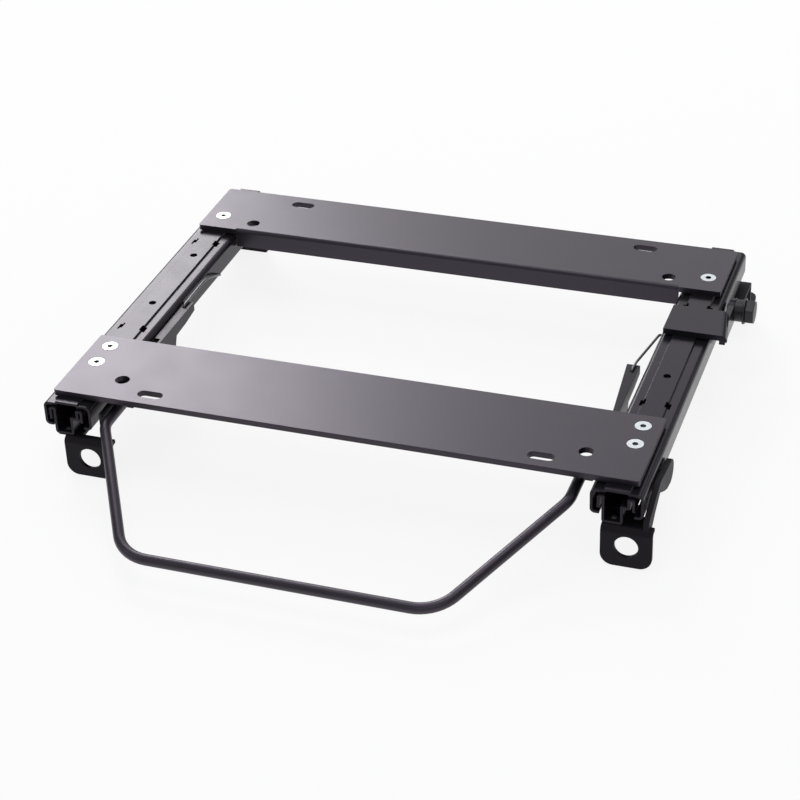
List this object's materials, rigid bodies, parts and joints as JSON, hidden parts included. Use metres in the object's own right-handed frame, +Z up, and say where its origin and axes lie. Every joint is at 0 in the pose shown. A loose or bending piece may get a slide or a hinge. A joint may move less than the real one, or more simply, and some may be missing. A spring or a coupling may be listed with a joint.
{
  "type": "seat slide rail",
  "caption": "Manual seat slide rail set: ball-bearing slides joined by drilled cross plates, with floor feet, a belt anchor bolt and a lift bar that frees the locks.",
  "frame": {"origin": "middle of the round seat holes, on the top face of the plates", "axes": "+X to the right of the seat, +Y to the rear along the rails, +Z up"},
  "size_m": [0.4704, 0.498, 0.061],
  "materials": {
    "rail_paint": "semi-gloss black paint",
    "plate_paint": "semi-gloss black powder coat",
    "bracket_paint": "semi-gloss black paint",
    "bar_paint": "semi-gloss black paint",
    "zinc": "bright zinc plate",
    "dark_steel": "black oxide",
    "spring_steel": "oiled spring wire",
    "cage_strip": "plain steel strip",
    "ball_steel": "polished"
  },
  "bodies": {
    "base": {"lower_rail_left": "rail_paint", "lower_rail_right": "rail_paint", "foot_front_left": "bracket_paint", "foot_front_right": "bracket_paint", "foot_rear_left": "bracket_paint", "foot_rear_right": "bracket_paint", "foot_rivets": "dark_steel"},
    "carriage": {"upper_rail_left": "rail_paint", "upper_rail_right": "rail_paint", "front_plate": "plate_paint", "rear_plate": "plate_paint", "plate_screws": "zinc", "weld_nuts": "dark_steel", "belt_bracket": "plate_paint", "belt_collar": "dark_steel", "belt_bolt": "dark_steel", "lever_pins": "dark_steel", "return_springs": "spring_steel"},
    "release": {"lock_lever_left": "bracket_paint", "lock_lever_right": "bracket_paint", "lift_bar": "bar_paint"},
    "cages": {"ball_cages": "cage_strip", "bearing_balls": "ball_steel"}
  },
  "joints": [
    {"name": "seat_slide", "type": "slide", "parent": "base", "child": "carriage", "axis": [0, 1, 0], "range_m": [-0.06, 0.12]},
    {"name": "release_hinge", "type": "hinge", "parent": "carriage", "child": "release", "pos_m": [0, -0.106, -0.015], "axis": [-1, 0, 0], "range_deg": [-1.3, 3], "stiffness_Nm_per_rad": 4, "springref_deg": -8.59, "deforming": ["return_springs"]},
    {"name": "cage_roll", "type": "slide", "parent": "base", "child": "cages", "axis": [0, 1, 0], "range_m": [-0.03, 0.06]}
  ],
  "couplings": [
    {"joint": "cage_roll", "follows": "seat_slide", "ratio": 0.5}
  ]
}
